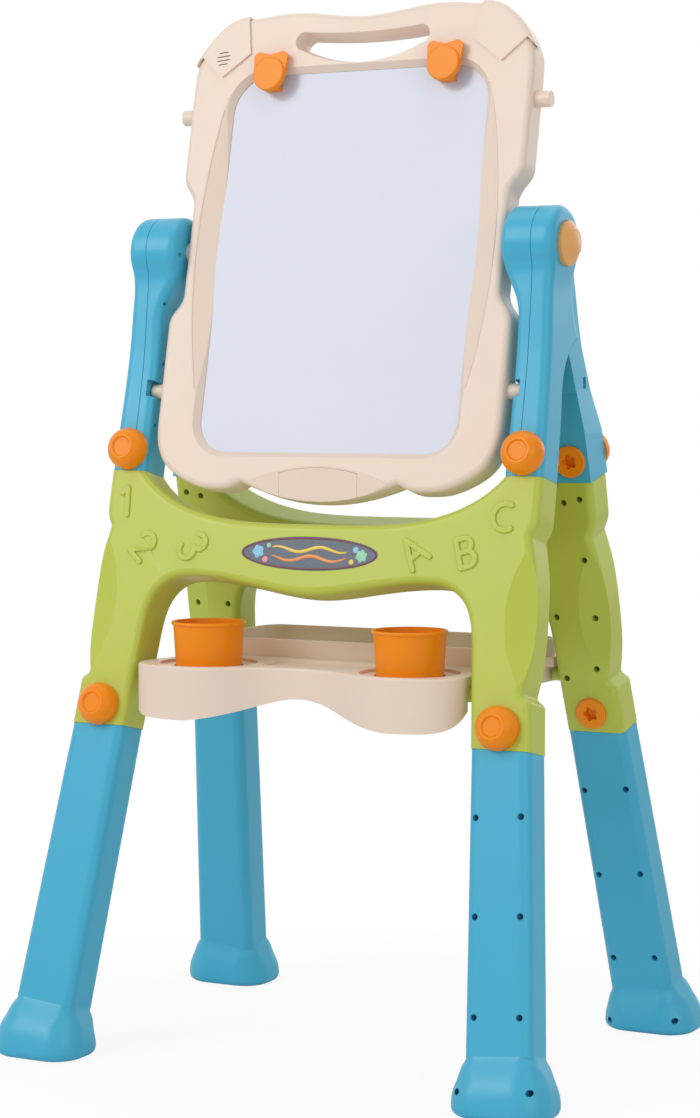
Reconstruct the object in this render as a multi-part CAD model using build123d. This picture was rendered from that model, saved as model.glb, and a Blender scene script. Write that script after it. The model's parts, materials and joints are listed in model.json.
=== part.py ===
from build123d import *
import os
from math import asin, atan2, cos, degrees, hypot, pi, radians, sin, tan

# Stance: the head axis runs along X; a front and a rear frame lean away from each other
AXIS_Z = 850.0
AXIS_Y = -19.0
LEAN = 12.8
PLANE_Y = 11.0
SPLAY = 5.4

# Hollow mouldings
WALL = 3.0
DEPTH = 48.0
SEAM_GAP = 0.3
SOCKET_GAP = 0.4
RUN_GAP = 0.05
BIG = 1500.0

# Green H frames, in the plane of each frame, measured from the axis height
UPPER_SEAM = 246.0
LOWER_SEAM = 521.0
ARM_IN = 210.5
ARM_OUT = 252.5
BAR_TOP = 299.0
BAR_BOTTOM = 374.0
ARCH_TOP = 358.5
LEG_WIDTH = 65.0
LEG_CENTRE = 234.0
LEAF_OUT = 258.5
FRAME_ROUND = 8.0
SPIGOT = 43.0

# Raised figures and the badge on the crossbar
FIGURE_HEIGHT = 33.0
FIGURE_STROKE = 6.0
FIGURE_RISE = 2.2
FIGURE_ROUND = 1.2
BADGE_WIDTH = 160.0
BADGE_HEIGHT = 36.0
BADGE_CENTRE = 331.0
BADGE_SINK = 1.2

# Arms and their heads
HEAD_R = 39.0
HEAD_IN = 191.5
HEAD_OUT = 249.5
ARM_SEAM = 226.0
ARM_ROUND = 9.0
SEAM_GROOVE = 0.8
SLEEVE_R = 16.0
SLEEVE_END = 229.0
HUB_R = 26.0
TONGUE_IN = 214.3
TONGUE_OUT = 242.8
HUB_OUT = 228.0
CLOSED_BACK = 180.0

# Lower legs and feet
LEG_LENGTH = 297.0
LEG_BOTTOM_WIDTH = 71.0
LEG_BOTTOM_DEPTH = 50.0
FOOT_WIDTH = 104.0
FOOT_DEPTH = 79.0
LEG_ROUND = 11.0
FOOT_ROUND = 32.0
BASE_ROUND = 8.0

# Clamping knobs, nuts and screws
KNOB_UP = 23.0
KNOB_LOW = 21.0
KNOB_R = 22.5
KNOB_HEIGHT = 19.2
SHANK_R = 6.0
NUT_FLANGE_R = 17.0
NUT_FLANGE = 3.4
NUT_BARREL_R = 10.5
NUT_BARREL = 11.0
SCREW_R = 1.6
SCREW_HEAD_R = 3.0
SCREW_HOLE_R = 3.4
BOSS_R = 4.6

# Tilting board
TILT = 12.5
BOARD_HALF = 17.0
BOARD_W = 202.0
WAIST_W = 187.0
WINDOW_W = 151.5
WINDOW_TOP = 193.5
WINDOW_BOTTOM = -221.5
WINDOW_LIP = 6.0
PANEL = 2.6
PANEL_SINK = 8.0
REBATE = 6.0
BOARD_ROUND = 6.0
PEG_R = 8.4
PEG_RADIUS = 154.0
PEG_END = 218.0
PIVOT_R = 12.0
PIVOT_END = 225.0
CAP_RISE = 2.6
CAP_ROUND = 5.0

# Paper clips
CLIP_X = 103.5
CLIP_H = 190.0
CLIP_R = 18.5
CLIP_PIN_R = 1.2

# Release buttons
BUTTON_R = 23.0
BUTTON_HOLE_GAP = 0.4
BUTTON_EDGE = 4.0
BUTTON_DOME = 13.0
BUTTON_BACK = 233.0
BUTTON_SKIN = 4.0
BUTTON_SKIRT = 2.5
BUTTON_TRAVEL = 4.2

# Tray and cups
TRAY_W = 180.0
LOBE_W = 188.0
TRAY_TOP = 415.0
TRAY_REAR_TOP = 434.0
TRAY_REAR = 140.0
TRAY_FLOOR = 388.0
LOBE_FRONT = 168.0
LOBE_DIP = 129.0
LOBE_LOW = 359.0
DIP_LOW = 383.0
PEG_V = 465.0
TRAY_PEG_R = 8.0
TRAY_PEG_IN = 183.0
CUP_X = 118.0
CUP_Y = -111.0
CUP_TOP = 458.6
CUP_R = 37.5
CUP_TAPER = 3.5
CUP_WALL = 2.0
CUP_BEAD = 2.0
POCKET = 16.0
WELL_R = 52.0
WELL = 3.0

A = radians(LEAN)
T = radians(TILT)
S = radians(SPLAY)
HALF = DEPTH / 2
FRONT = Plane(origin=(0, -PLANE_Y, AXIS_Z), x_dir=(1, 0, 0), z_dir=(0, -cos(A), sin(A)))
BOARD = Plane(origin=(0, AXIS_Y, AXIS_Z), x_dir=(1, 0, 0), z_dir=(0, -cos(T), sin(T)))
REAR_TURN = Rot(0, 0, 180)
os.makedirs("parts", exist_ok=True)


# Helpers

def slab(face, low, high):
    """Prism of a flat outline between two heights above its own plane."""
    return Pos(0, 0, low) * extrude(face, amount=high - low, dir=(0, 0, 1))


def across(face, low, high):
    """Prism along X of an outline drawn in (y, z)."""
    return Plane.YZ * slab(face, low, high)


def along_y(face, low, high):
    """Prism along Y of an outline drawn in (x, z)."""
    return Plane.XZ * slab(face, -high, -low)


def box_between(low, high):
    """Box given by two opposite corners."""
    size = [b - a for a, b in zip(low, high)]
    middle = [(a + b) / 2 for a, b in zip(low, high)]
    return Pos(*middle) * Box(*size)


def rod(x, y, low, high, radius):
    """Round bar along the local z axis at (x, y)."""
    return Pos(x, y, (low + high) / 2) * Cylinder(radius, high - low)


def rod_x(y, z, low, high, radius):
    """Round bar along X at (y, z)."""
    return Pos((low + high) / 2, y, z) * Rot(0, 90, 0) * Cylinder(radius, high - low)


def other_side(part):
    """The same piece on the left-hand side."""
    return mirror(part, about=Plane.YZ)


def front_point(out, down):
    """(y, z) of a point of the front frame: out from its middle plane, down from the axis height."""
    return (-PLANE_Y - down * sin(A) - out * cos(A), AXIS_Z - down * cos(A) + out * sin(A))


def rear_point(out, down):
    """(y, z) of the same point of the rear frame."""
    y, z = front_point(out, down)
    return (-y, z)


def rounded(part, radius, pick):
    """Round the edges of a piece that a test picks."""
    return fillet([edge for edge in part.edges() if pick(edge.center())], radius)


def inset(outline, distance):
    """Outline drawn in by a distance, with its free curves fitted anew."""
    edges = []
    for edge in offset(outline, -distance).edges():
        if edge.geom_type == GeomType.LINE:
            edges.append(Line(edge @ 0, edge @ 1))
        elif edge.geom_type == GeomType.CIRCLE:
            edges.append(ThreePointArc(edge @ 0, edge @ 0.5, edge @ 1))
        else:
            points = [edge @ (step / 24) for step in range(25)]
            edges.append(Spline(*points, tangents=[edge % 0, edge % 1]))
    return make_face(edges)


def half_space(face_side, low=-BIG, high=BIG):
    """Everything in front of (+1) or behind (-1) the middle plane of a frame."""
    return box_between((low, low, 0), (high, high, BIG)) if face_side > 0 else box_between(
        (low, low, -BIG), (high, high, 0))


def screw(x, y, head, tip):
    """Countersunk-hole screw along the local z axis, head seat to tip."""
    way = 1 if tip > head else -1
    crown = head - way * 2.2
    body = rod(x, y, min(head, crown), max(head, crown), SCREW_HEAD_R)
    body += rod(x, y, min(head, tip), max(head, tip), SCREW_R)
    drive = crown + way * 0.9
    return body - rod(x, y, min(crown, drive), max(crown, drive), SCREW_R * 0.8)


# Green H frame, built in its own plane: x across, y up, z outwards

LEG_IN_EDGE = LEG_CENTRE - LEG_WIDTH / 2
LEG_OUT_EDGE = LEG_CENTRE + LEG_WIDTH / 2
ARCH_FOOT = 424.0
SHOULDER = 472.0
WAIST = 306.0


def leg_drift(down):
    """How far the splayed leg has moved outwards at a distance down the frame."""
    return (down - LOWER_SEAM) * tan(S)


def frame_outline():
    """Outline of the H: spline crossbar, waisted uprights with a leaf, splayed sockets."""
    top = [(x, -BAR_TOP + rise) for x, rise in ((0, 0), (60, 0.5), (129, 8), (184, 30))]
    mirrored = [(-x, y) for x, y in reversed(top[1:])]
    ends = [(-ARM_IN, -UPPER_SEAM)] + mirrored + top + [(ARM_IN, -UPPER_SEAM)]
    shoulder_x = LEG_OUT_EDGE + leg_drift(SHOULDER)
    arch_x = LEG_IN_EDGE + leg_drift(ARCH_FOOT)
    arch_end = (140, -ARCH_TOP)
    side = [
        Line((ARM_IN, -UPPER_SEAM), (ARM_OUT, -UPPER_SEAM)),
        Line((ARM_OUT, -UPPER_SEAM), (ARM_OUT + 0.5, -WAIST + 23)),
        ThreePointArc((ARM_OUT + 0.5, -WAIST + 23), (ARM_OUT - 1.5, -WAIST + 9), (ARM_OUT - 6, -WAIST)),
        ThreePointArc((ARM_OUT - 6, -WAIST), (LEAF_OUT, -392), (ARM_OUT, -SHOULDER + 7)),
        Line((ARM_OUT, -SHOULDER + 7), (shoulder_x, -SHOULDER)),
        Line((shoulder_x, -SHOULDER), (LEG_OUT_EDGE, -LOWER_SEAM)),
        Line((LEG_OUT_EDGE, -LOWER_SEAM), (LEG_IN_EDGE, -LOWER_SEAM)),
        Line((LEG_IN_EDGE, -LOWER_SEAM), (arch_x, -ARCH_FOOT)),
        Spline((arch_x, -ARCH_FOOT), (arch_x - 14, -ARCH_FOOT + 49), arch_end,
               tangents=[(-tan(S), 1), (-1, 0)]),
    ]
    under = Spline(arch_end, (0, -BAR_BOTTOM), (-arch_end[0], arch_end[1]), tangents=[(-1, 0), (-1, 0)])
    return make_face([Spline(*ends), under] + side + [mirror(edge, about=Plane.YZ) for edge in side])


def figure(strokes, x, down, turn):
    """Raised character: rounded strokes on a grid one unit high, placed and turned on the frame."""
    flat = None
    for stroke in strokes:
        points = [(px * FIGURE_HEIGHT, (py - 0.5) * FIGURE_HEIGHT) for px, py in stroke]
        if len(points) == 2:
            long = hypot(points[1][0] - points[0][0], points[1][1] - points[0][1])
            piece = SlotCenterToCenter(long, FIGURE_STROKE)
            turn_line = degrees(atan2(points[1][1] - points[0][1], points[1][0] - points[0][0]))
            middle = ((points[0][0] + points[1][0]) / 2, (points[0][1] + points[1][1]) / 2)
            piece = Pos(*middle) * Rot(0, 0, turn_line) * piece
        else:
            piece = SlotArc(ThreePointArc(*points), FIGURE_STROKE)
        flat = piece if flat is None else flat + piece
    raised = slab(Pos(x, -down) * Rot(0, 0, turn) * flat, HALF - 0.5, HALF + FIGURE_RISE)
    return rounded(raised, FIGURE_ROUND, lambda p: p.Z > HALF + FIGURE_RISE - 0.01)


FIGURES = (
    ([[(-0.12, 0.78), (0.08, 0.95)], [(0.08, 0.95), (0.08, 0.05)]], -229, 280, 4),
    ([[(-0.26, 0.72), (0.02, 0.96), (0.24, 0.64)], [(0.24, 0.64), (-0.28, 0.06)],
      [(-0.28, 0.06), (0.28, 0.06)]],
     -200, 328, -42),
    ([[(-0.24, 0.86), (0.22, 0.76), (0, 0.52)], [(0, 0.52), (0.26, 0.26), (-0.26, 0.14)]], -139, 327, -60),
    ([[(-0.34, 0.04), (0, 0.96)], [(0, 0.96), (0.34, 0.04)], [(-0.22, 0.36), (0.22, 0.36)]], 120, 326, 40),
    ([[(-0.24, 0.05), (-0.24, 0.95)], [(-0.24, 0.95), (0.04, 0.95)],
      [(0.04, 0.95), (0.24, 0.73), (0.04, 0.52)], [(-0.24, 0.52), (0.04, 0.52)],
      [(0.04, 0.52), (0.28, 0.28), (0.04, 0.05)], [(-0.24, 0.05), (0.04, 0.05)]],
     178, 325, 16),
    ([[(0.28, 0.86), (-0.32, 0.5), (0.28, 0.14)]], 215, 288, 2),
)

FRAME_SCREWS = ((238, 264), (220, 268), (238, 330), (243, 395), (242, 450), (207, 462), (201, 394))
LEAF_CIRCLE = 128.0
LEAF_SLOPE = radians(19.0)


def leaf_dish(side, grow=0.0):
    """Shallow ball cut that slopes the leaf away from the face inside a curved crease."""
    ball = LEAF_CIRCLE / sin(LEAF_SLOPE)
    middle = HALF + ball * cos(LEAF_SLOPE)
    x = LEAF_OUT - 31.5 + LEAF_CIRCLE
    room = box_between((LEAF_OUT - 75, -490, 0), (LEAF_OUT + 20, -285, HALF + 5))
    dish = Pos(x, -386, middle) * Sphere(ball + grow) & room
    return dish if side > 0 else mirror(dish, about=Plane.XY)


def knob_places():
    """(x, distance down) of the two clamping points of the right-hand upright."""
    low = LOWER_SEAM - KNOB_LOW
    return ((ARM_IN + ARM_OUT) / 2, UPPER_SEAM - KNOB_UP), (LEG_CENTRE + leg_drift(low), low)


def build_frame():
    """Face shell and back shell of the H, with spigots, screw posts, tray pegs and raised figures."""
    outline = frame_outline()
    body = extrude(outline, amount=HALF, both=True)
    corners = [edge for edge in body.edges() if abs(edge.tangent_at(0).Z) > 0.99
               and (abs(edge.center().Y + WAIST) < 1 or abs(edge.center().Y + SHOULDER - 3.5) < 4)]
    body = fillet(corners, 5)

    def rim(point):
        return abs(abs(point.Z) - HALF) < 0.01 and -LOWER_SEAM + 1 < point.Y < -UPPER_SEAM - 1

    body = rounded(body, FRAME_ROUND, lambda p: rim(p) and p.Y > -BAR_TOP - 1 and abs(p.X) < 100)
    body = rounded(body, FRAME_ROUND, lambda p: rim(p) and p.Y < -ARCH_TOP + 5 and abs(p.X) < LEG_IN_EDGE)
    body = rounded(body, FRAME_ROUND, lambda p: rim(p) and p.X > LEG_CENTRE)
    body = rounded(body, FRAME_ROUND, lambda p: rim(p) and p.X < -LEG_CENTRE)
    inside = extrude(inset(outline, WALL), amount=HALF - WALL, both=True)
    for side in (1, -1):
        body -= leaf_dish(side)
        body -= other_side(leaf_dish(side))
        inside -= leaf_dish(side, WALL)
        inside -= other_side(leaf_dish(side, WALL))
    full = body
    (up_x, up_v), (low_x, low_v) = knob_places()
    slack = SPIGOT * tan(S) / 5
    socket = box_between((LEG_IN_EDGE + WALL - slack, -LOWER_SEAM - 5, WALL - HALF),
                         (LEG_OUT_EDGE - WALL, -LOWER_SEAM + 6, HALF - WALL))
    arm_side = WALL + SOCKET_GAP
    spigot = box_between((ARM_IN + arm_side, -UPPER_SEAM - WALL, arm_side - HALF),
                         (ARM_OUT - arm_side - 2.6, -UPPER_SEAM + SPIGOT, HALF - arm_side))
    spigot_inside = box_between((ARM_IN + arm_side + WALL, -UPPER_SEAM - WALL - 2, arm_side + WALL - HALF),
                                (ARM_OUT - arm_side - 2.6 - WALL, -UPPER_SEAM + SPIGOT + 1,
                                 HALF - arm_side - WALL))
    peg_x = LEG_IN_EDGE + leg_drift(PEG_V)
    peg_long = peg_x + 1 - TRAY_PEG_IN
    peg = Pos(TRAY_PEG_IN + peg_long / 2, -PEG_V, 0) * Rot(0, 90, 0) * Cylinder(TRAY_PEG_R, peg_long)
    posts = [rod(x, -v, WALL - HALF - 1, HALF - WALL + 1, BOSS_R) for x, v in FRAME_SCREWS]
    holes = []
    for x, down in ((up_x, up_v), (low_x, low_v)):
        holes.append(rod(x, -down, 0, BIG, SHANK_R + SOCKET_GAP))
        holes.append(rod(x, -down, -BIG, 0, NUT_BARREL_R + SEAM_GAP))
    ways = []
    for x, v in FRAME_SCREWS:
        ways.append(rod(x, -v, -BIG, -HALF / 3, SCREW_HOLE_R))
        ways.append(rod(x, -v, -HALF / 3 - 1, HALF / 2, SCREW_R + RUN_GAP))
    body -= inside
    for flip in (lambda piece: piece, other_side):
        body -= flip(socket)
        body += flip(spigot)
        body -= flip(spigot_inside)
        body += [flip(post) & full for post in posts]
        body -= [flip(hole) for hole in holes + ways]
    back = body & half_space(-1)
    face = body & half_space(1)
    for flip in (lambda piece: piece, other_side):
        back += flip(peg)
        face -= flip(Pos((TRAY_PEG_IN + peg_x + 1) / 2, -PEG_V, 0) * Rot(0, 90, 0)
                     * Cylinder(TRAY_PEG_R + SEAM_GAP, peg_x + 1.4 - TRAY_PEG_IN))
    badge_oval = Pos(0, -BADGE_CENTRE) * Ellipse(BADGE_WIDTH / 2, BADGE_HEIGHT / 2)
    badge_bed = slab(badge_oval, HALF - BADGE_SINK, HALF + 5)
    face -= badge_bed
    for strokes, x, down, turn in FIGURES:
        face += figure(strokes, x, down, turn)
    return face, back


def frame_screws():
    """Screws that pull the two shells together, driven from the inside of the frame."""
    right = [screw(x, -v, -HALF / 3, HALF / 2) for x, v in FRAME_SCREWS]
    return right + [other_side(piece) for piece in right]


def badge():
    """Thin oval plate in the bed on the crossbar."""
    plate = Ellipse(BADGE_WIDTH / 2 - SEAM_GAP, BADGE_HEIGHT / 2 - SEAM_GAP)
    return slab(Pos(0, -BADGE_CENTRE) * plate, HALF - BADGE_SINK, HALF - 0.2)


# Arms, built in place for the right-hand side

HEAD_TURN = radians(25.0)
HEAD_FRONT = (AXIS_Y - HEAD_R * cos(HEAD_TURN), AXIS_Z - HEAD_R * sin(HEAD_TURN))
HEAD_BACK = (AXIS_Y + HEAD_R * cos(HEAD_TURN), AXIS_Z - HEAD_R * sin(HEAD_TURN))
HEAD_TOP = (AXIS_Y, AXIS_Z + HEAD_R)
UP_FRONT = (sin(A), cos(A))
DOWN_FRONT = (-sin(A), -cos(A))
TRIM = UPPER_SEAM + 12
WING_TIP = (AXIS_Y + 43, AXIS_Z - 99)


def arm_front_edge(inset):
    """Front edge of an arm from the seam up to the head, drawn inwards by an inset."""
    out = HALF - inset
    start = front_point(out, 170)
    reach = HEAD_R - inset
    end = (AXIS_Y - reach * cos(HEAD_TURN), AXIS_Z - reach * sin(HEAD_TURN))
    curve = Spline(start, front_point(out + 2, 110), front_point(out + 8, 55), end,
                   tangents=[UP_FRONT, (-sin(HEAD_TURN), cos(HEAD_TURN))])
    return [Line(front_point(out, TRIM), start), curve]


def arm_side(wing):
    """Side view of the arm: round head, and on the outer shell a wing over the rear arm."""
    head = ThreePointArc(HEAD_FRONT, HEAD_TOP, HEAD_BACK)
    leave = (-sin(HEAD_TURN), -cos(HEAD_TURN))
    low_back = front_point(-HALF, TRIM)
    if wing:
        join = front_point(-HALF, CLOSED_BACK + 5)
        back = [
            Spline(HEAD_BACK, (AXIS_Y + 28.5, AXIS_Z - 47), WING_TIP, tangents=[leave, (0.5, -1)]),
            Spline(WING_TIP, (AXIS_Y + 26, AXIS_Z - 107), (AXIS_Y + 6, AXIS_Z - 126),
                   (AXIS_Y - 4, AXIS_Z - 152),
                   join, tangents=[(-1, -0.25), DOWN_FRONT]),
            Line(join, low_back),
        ]
    else:
        join = front_point(-HALF, 95)
        back = [Spline(HEAD_BACK, (AXIS_Y + 27, AXIS_Z - 47), join, tangents=[leave, DOWN_FRONT]),
                Line(join, low_back)]
    return make_face(arm_front_edge(0) + [head] + back + [Line(low_back, front_point(HALF, TRIM))])


def arm_front():
    """Front view of the arm in (x, z): wide head, slim neck."""
    low = AXIS_Z - 290
    return make_face([
        Line((ARM_IN, low), (ARM_IN, AXIS_Z - 76)),
        Spline((ARM_IN, AXIS_Z - 76), (ARM_IN - 9, AXIS_Z - 43), (HEAD_IN, AXIS_Z - 9),
               tangents=[(0, 1), (0, 1)]),
        Line((HEAD_IN, AXIS_Z - 9), (HEAD_IN, AXIS_Z + 60)),
        Line((HEAD_IN, AXIS_Z + 60), (HEAD_OUT, AXIS_Z + 60)),
        Line((HEAD_OUT, AXIS_Z + 60), (HEAD_OUT, AXIS_Z - 5)),
        Spline((HEAD_OUT, AXIS_Z - 5), (HEAD_OUT - 2.7, AXIS_Z - 50), tangents=[(0, -1), (0.03, -1)]),
        Line((HEAD_OUT - 2.7, AXIS_Z - 50), (ARM_OUT, AXIS_Z - 240)),
        Line((ARM_OUT, AXIS_Z - 240), (ARM_OUT, low)),
        Line((ARM_OUT, low), (ARM_IN, low)),
    ])


def arm_inside():
    """Hollow of the arm: closed at the joint, open at the back where the rear arm folds in."""
    reach = HEAD_R - WALL
    core = (AXIS_Y - reach * cos(HEAD_TURN), AXIS_Z - reach * sin(HEAD_TURN))
    back_top = (AXIS_Y + reach * cos(HEAD_TURN), AXIS_Z - reach * sin(HEAD_TURN))
    outer = AXIS_Y + 110
    channel = make_face(arm_front_edge(WALL) + [
        Line(core, back_top),
        Line(back_top, (outer, back_top[1])),
        Line((outer, back_top[1]), (outer, AXIS_Z - CLOSED_BACK * cos(A))),
        Line((outer, AXIS_Z - CLOSED_BACK * cos(A)), front_point(WALL - HALF, CLOSED_BACK)),
        Line(front_point(WALL - HALF, CLOSED_BACK), front_point(WALL - HALF, TRIM)),
        Line(front_point(WALL - HALF, TRIM), front_point(HALF - WALL, TRIM)),
    ])
    hollow = across(channel, HEAD_IN, HEAD_OUT + 10) + rod_x(AXIS_Y, AXIS_Z, HEAD_IN, HEAD_OUT + 10, reach)
    return hollow & along_y(inset(arm_front(), WALL), -BIG, BIG)


def above_seam(gap):
    """Space above the joint between an arm and the frame."""
    return FRONT * box_between((-BIG, -UPPER_SEAM + gap, -BIG), (BIG, BIG, BIG))


def peg_way(angle, end_angle, inner, outer):
    """Curved slot that a board peg sweeps in and out of, about the head axis."""
    ring = rod_x(AXIS_Y, AXIS_Z, inner, outer, PEG_RADIUS + PEG_R + SOCKET_GAP)
    ring -= rod_x(AXIS_Y, AXIS_Z, inner - 1, outer + 1, PEG_RADIUS - PEG_R - SOCKET_GAP)
    corners = [(AXIS_Y + BIG * sin(radians(t)), AXIS_Z - BIG * cos(radians(t))) for t in (angle, end_angle)]
    wedge = across(make_face(Polyline((AXIS_Y, AXIS_Z), *corners, close=True)), inner, outer)
    t = radians(angle)
    end = rod_x(AXIS_Y + PEG_RADIUS * sin(t), AXIS_Z - PEG_RADIUS * cos(t), inner, outer,
                PEG_R + SOCKET_GAP)
    return (ring & wedge) + end


REAR_PEG_ANGLE = 23.8
ARM_HOLE_R = 2.2
ARM_HOLES = ((25, 62), (9, 125), (12, 194))


def seam_groove():
    """Fine groove that shows where the two halves of an arm meet, along the front and over the head."""
    side = arm_side(False)
    ring = across(side, ARM_SEAM - SEAM_GROOVE / 2, ARM_SEAM + SEAM_GROOVE / 2)
    ring -= across(inset(side, SEAM_GROOVE), ARM_SEAM - SEAM_GROOVE, ARM_SEAM + SEAM_GROOVE)
    return ring & box_between((0, -BIG, 0), (BIG, AXIS_Y + HEAD_R / 2, BIG))


def build_front_arm():
    """Outer and inner mouldings of the right-hand front arm."""
    view = along_y(arm_front(), -BIG, BIG)
    outer = across(arm_side(True), ARM_SEAM, HEAD_OUT + 10) & view & above_seam(SEAM_GAP)
    inner = across(arm_side(False), HEAD_IN - 5, ARM_SEAM) & view & above_seam(SEAM_GAP)
    low = front_point(HALF, UPPER_SEAM - 20)[1]
    outer = rounded(outer, ARM_ROUND, lambda p: p.X > HEAD_OUT - 8 and p.Y < AXIS_Y - 5 and p.Z > low)
    inner = rounded(inner, ARM_ROUND, lambda p: p.X < ARM_IN + 1 and p.Y < AXIS_Y - 5 and p.Z > low)
    hollow = arm_inside()
    outer -= hollow
    inner -= hollow
    inner += rod_x(AXIS_Y, AXIS_Z, HEAD_IN + 1, SLEEVE_END, SLEEVE_R)
    inner -= rod_x(AXIS_Y, AXIS_Z, HEAD_IN - 5, SLEEVE_END + 5, PIVOT_R + RUN_GAP)
    pocket = PEG_END + 1.5
    inner += FRONT * box_between((pocket, -PEG_RADIUS - 18, -2),
                                 (pocket + 2.5, -PEG_RADIUS + 18, HALF - WALL + 0.5))
    inner -= peg_way(-TILT, -TILT - 40, HEAD_IN, pocket)
    groove = seam_groove()
    outer -= groove
    inner -= groove
    for out, down in ARM_HOLES:
        inner -= rod_x(*front_point(out, down), HEAD_IN - 5, ARM_IN + WALL + 1, ARM_HOLE_R)
    inner -= rod_x(AXIS_Y - 25, AXIS_Z - 2, HEAD_IN - 5, HEAD_IN + WALL + 1, ARM_HOLE_R)
    outer -= rod_x(AXIS_Y, AXIS_Z, HUB_OUT, HEAD_OUT + 10, BUTTON_R + BUTTON_HOLE_GAP)
    (up_x, up_v), _ = knob_places()
    cut = FRONT * (rod(up_x, -up_v, 0, BIG, SHANK_R + SOCKET_GAP)
                   + rod(up_x, -up_v, -60, 0, NUT_BARREL_R + SEAM_GAP))
    return outer - cut, inner - cut


def tangent_point(point, radius, side):
    """Where a straight line from a point touches a circle round the head axis."""
    dy, dz = point[0] - AXIS_Y, point[1] - AXIS_Z
    span = hypot(dy, dz)
    turn = atan2(dz, dy) + side * (pi / 2 - asin(radius / span))
    return (AXIS_Y + radius * cos(turn), AXIS_Z + radius * sin(turn))


def build_rear_arm():
    """Outer and inner mouldings of the right-hand rear arm, with the hub that turns on the head sleeve."""
    bend = (AXIS_Y + 56, AXIS_Z - 103)
    knee = rear_point(-HALF, 150)
    outline = [rear_point(HALF, TRIM), rear_point(HALF, UPPER_SEAM - SPIGOT - 5), bend,
               tangent_point(bend, HUB_R, 1),
               tangent_point(knee, HUB_R, -1), knee, rear_point(-HALF, TRIM)]
    side = make_face(Polyline(*outline, close=True)) + Pos(AXIS_Y, AXIS_Z) * Circle(HUB_R)
    low = AXIS_Z - 290
    view = make_face(Polyline(
        (TONGUE_IN, AXIS_Z + 60), (TONGUE_IN, AXIS_Z - 165), (ARM_IN, AXIS_Z - 195), (ARM_IN, low),
        (ARM_OUT, low),
        (ARM_OUT, AXIS_Z - 236), (ARM_OUT - 2.2, AXIS_Z - 193), (TONGUE_OUT + 1.8, AXIS_Z - 148),
        (TONGUE_OUT, AXIS_Z - 80), (TONGUE_OUT, AXIS_Z + 60), close=True))
    body = across(side, ARM_IN, ARM_OUT) & along_y(view, -BIG, BIG)
    body &= REAR_TURN * above_seam(SEAM_GAP)
    body -= rod_x(AXIS_Y, AXIS_Z, HUB_OUT, ARM_OUT + 1, HUB_R + 4)
    below_hub = box_between((0, -BIG, low - 50), (BIG, BIG, AXIS_Z - 75))
    hollow = across(offset(side, -WALL), ARM_IN, ARM_OUT) & along_y(offset(view, -WALL), -BIG, BIG)
    hollow &= below_hub
    body -= hollow
    body -= rod_x(AXIS_Y, AXIS_Z, ARM_IN - 1, HUB_OUT + 1, SLEEVE_R + RUN_GAP)
    body -= peg_way(REAR_PEG_ANGLE, REAR_PEG_ANGLE + 30, ARM_IN - 1, PEG_END + 1.0)
    t = radians(REAR_PEG_ANGLE)
    slot_y, slot_z = AXIS_Y + PEG_RADIUS * sin(t), AXIS_Z - PEG_RADIUS * cos(t)
    body -= box_between((ARM_SEAM, slot_y - 3.5, slot_z - 6), (ARM_OUT + 5, slot_y + 3.5, slot_z + 6))
    (up_x, up_v), _ = knob_places()
    body -= REAR_TURN * (FRONT * (rod(-up_x, -up_v, 0, BIG, SHANK_R + SOCKET_GAP)
                                  + rod(-up_x, -up_v, -60, 0, NUT_BARREL_R + SEAM_GAP)))
    outer = body & box_between((HUB_OUT, -BIG, 0), (BIG, BIG, BIG))
    inner = body & box_between((0, -BIG, 0), (HUB_OUT, BIG, BIG))
    return outer, inner


# Lower legs, in a frame of their own: x across, y outwards, z down the leg

LEG_FRAME = Plane(origin=(LEG_CENTRE, -LOWER_SEAM, 0), x_dir=(cos(S), sin(S), 0),
                  z_dir=(sin(S), -cos(S), 0))
FLARE = ((0, 0.0), (8, 0.24), (16, 0.51), (25, 0.77), (33, 0.92), (41, 0.99), (48, 1.0), (57, 0.96),
         (76, 0.8))
LEG_SCREWS = ((24, 66), (24, 163), (24, 260), (38, 331))
LEG_TOP = 14.0


def leg_section(along, inset):
    """Rounded section of the leg at a distance down it."""
    share = along / LEG_LENGTH
    wide = LEG_WIDTH + (LEG_BOTTOM_WIDTH - LEG_WIDTH) * share
    deep = DEPTH + (LEG_BOTTOM_DEPTH - DEPTH) * share
    return Pos(0, 0, along) * RectangleRounded(wide - 2 * inset, deep - 2 * inset, LEG_ROUND - inset)


def foot_section(step, swell, inset):
    """Rounded section of the flared foot."""
    wide = LEG_BOTTOM_WIDTH + (FOOT_WIDTH - LEG_BOTTOM_WIDTH) * swell
    deep = LEG_BOTTOM_DEPTH + (FOOT_DEPTH - LEG_BOTTOM_DEPTH) * swell
    curve = LEG_ROUND + (FOOT_ROUND - LEG_ROUND) * min(1.0, 1.25 * swell) - inset
    return Pos(0, 0, LEG_LENGTH + step) * RectangleRounded(wide - 2 * inset, deep - 2 * inset, curve)


def leg_solid(inset, start):
    """Tapered leg and flared foot, drawn in by an inset."""
    shaft = loft([leg_section(start, inset), leg_section(LEG_LENGTH, inset)], ruled=True)
    foot = loft([foot_section(step, swell, inset) for step, swell in FLARE])
    return shaft + foot


def above_floor(height):
    """Space above a height over the floor, seen from the front frame's own plane."""
    return FRONT.location.inverse() * box_between((-BIG, -BIG, height), (BIG, BIG, BIG))


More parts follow.
